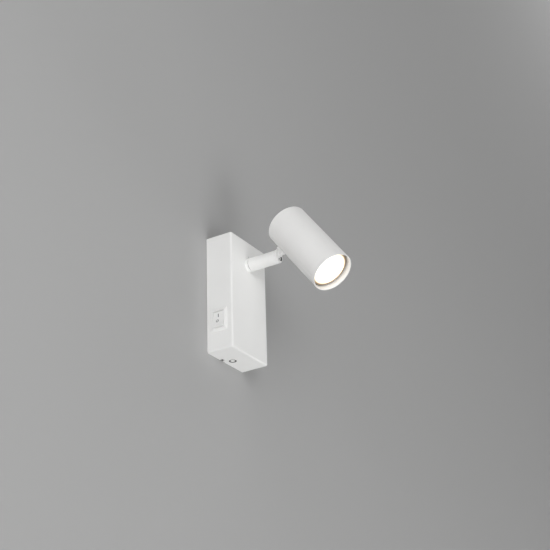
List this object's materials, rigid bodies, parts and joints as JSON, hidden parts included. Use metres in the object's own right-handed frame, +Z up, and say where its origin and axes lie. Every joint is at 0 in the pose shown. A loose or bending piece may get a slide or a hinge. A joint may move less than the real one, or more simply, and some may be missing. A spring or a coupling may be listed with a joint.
{
  "type": "bedside wall reading lamp",
  "caption": "Wall reading lamp: a slim upright housing with a side rocker switch, a short swivelling arm and a tilting cylindrical spot head with a pin-base reflector lamp.",
  "frame": {"origin": "on the wall plane, at the middle of the housing's open back, which is the middle of the two wall slots", "axes": "+X along the wall (switch on the -X side), +Y into the wall, +Z up; the arm and head stand out towards -Y"},
  "size_m": [0.0836, 0.1828, 0.1845],
  "materials": {
    "white_paint": "matt powder coat",
    "head_paint": "matt powder coat",
    "switch_white": "moulded, slight gloss",
    "rocker_white": "moulded, slight gloss",
    "zinc_plate": "zinc plated steel",
    "dark_steel": "blackened steel screw",
    "brass_part": "plain brass",
    "block_nylon": "moulded nylon",
    "washer_fibre": "dark fibre washer",
    "holder_ceramic": "unglazed ceramic",
    "lamp_shell": "moulded",
    "lamp_front": "frosted, lit"
  },
  "bodies": {
    "base": {"wall_bracket": "zinc_plate", "bracket_inserts": "zinc_plate", "terminal_block": "block_nylon", "terminal_sleeves": "brass_part", "terminal_screws": "zinc_plate", "block_screw": "zinc_plate", "clamp_screws": "zinc_plate", "earth_terminal": "brass_part", "cable_clamp": "block_nylon", "housing_cover": "white_paint", "cover_screws": "zinc_plate", "switch_body": "switch_white", "switch_terminals": "brass_part", "swivel_collar": "white_paint", "friction_washer": "washer_fibre", "thrust_washer": "zinc_plate", "stop_pin": "zinc_plate"},
    "rocker": {"rocker": "rocker_white"},
    "arm": {"arm": "white_paint", "swivel_nipple": "zinc_plate", "stop_disc": "zinc_plate", "spring_washer": "zinc_plate", "nipple_nut": "zinc_plate", "pivot_screw": "white_paint", "locking_screw": "dark_steel"},
    "head": {"head_tongue": "white_paint", "head_shade": "head_paint", "holder_bracket": "zinc_plate", "head_screws": "zinc_plate", "holder_screws": "zinc_plate", "lampholder": "holder_ceramic", "holder_contacts": "brass_part", "lamp_body": "lamp_shell", "lamp_lens": "lamp_front", "lamp_pins": "zinc_plate"}
  },
  "joints": [
    {"name": "arm_swivel", "type": "hinge", "parent": "base", "child": "arm", "pos_m": [0, -0.038, 0.0464], "axis": [0, -1, 0], "range_deg": [-170, 170]},
    {"name": "head_tilt", "type": "hinge", "parent": "arm", "child": "head", "pos_m": [0, -0.0778, 0.0464], "axis": [-1, 0, 0], "range_deg": [-36, 54]},
    {"name": "rocker_switch", "type": "hinge", "parent": "base", "child": "rocker", "pos_m": [-0.0382, -0.0183, -0.0392], "axis": [0, -1, 0], "range_deg": [0, 14]}
  ]
}
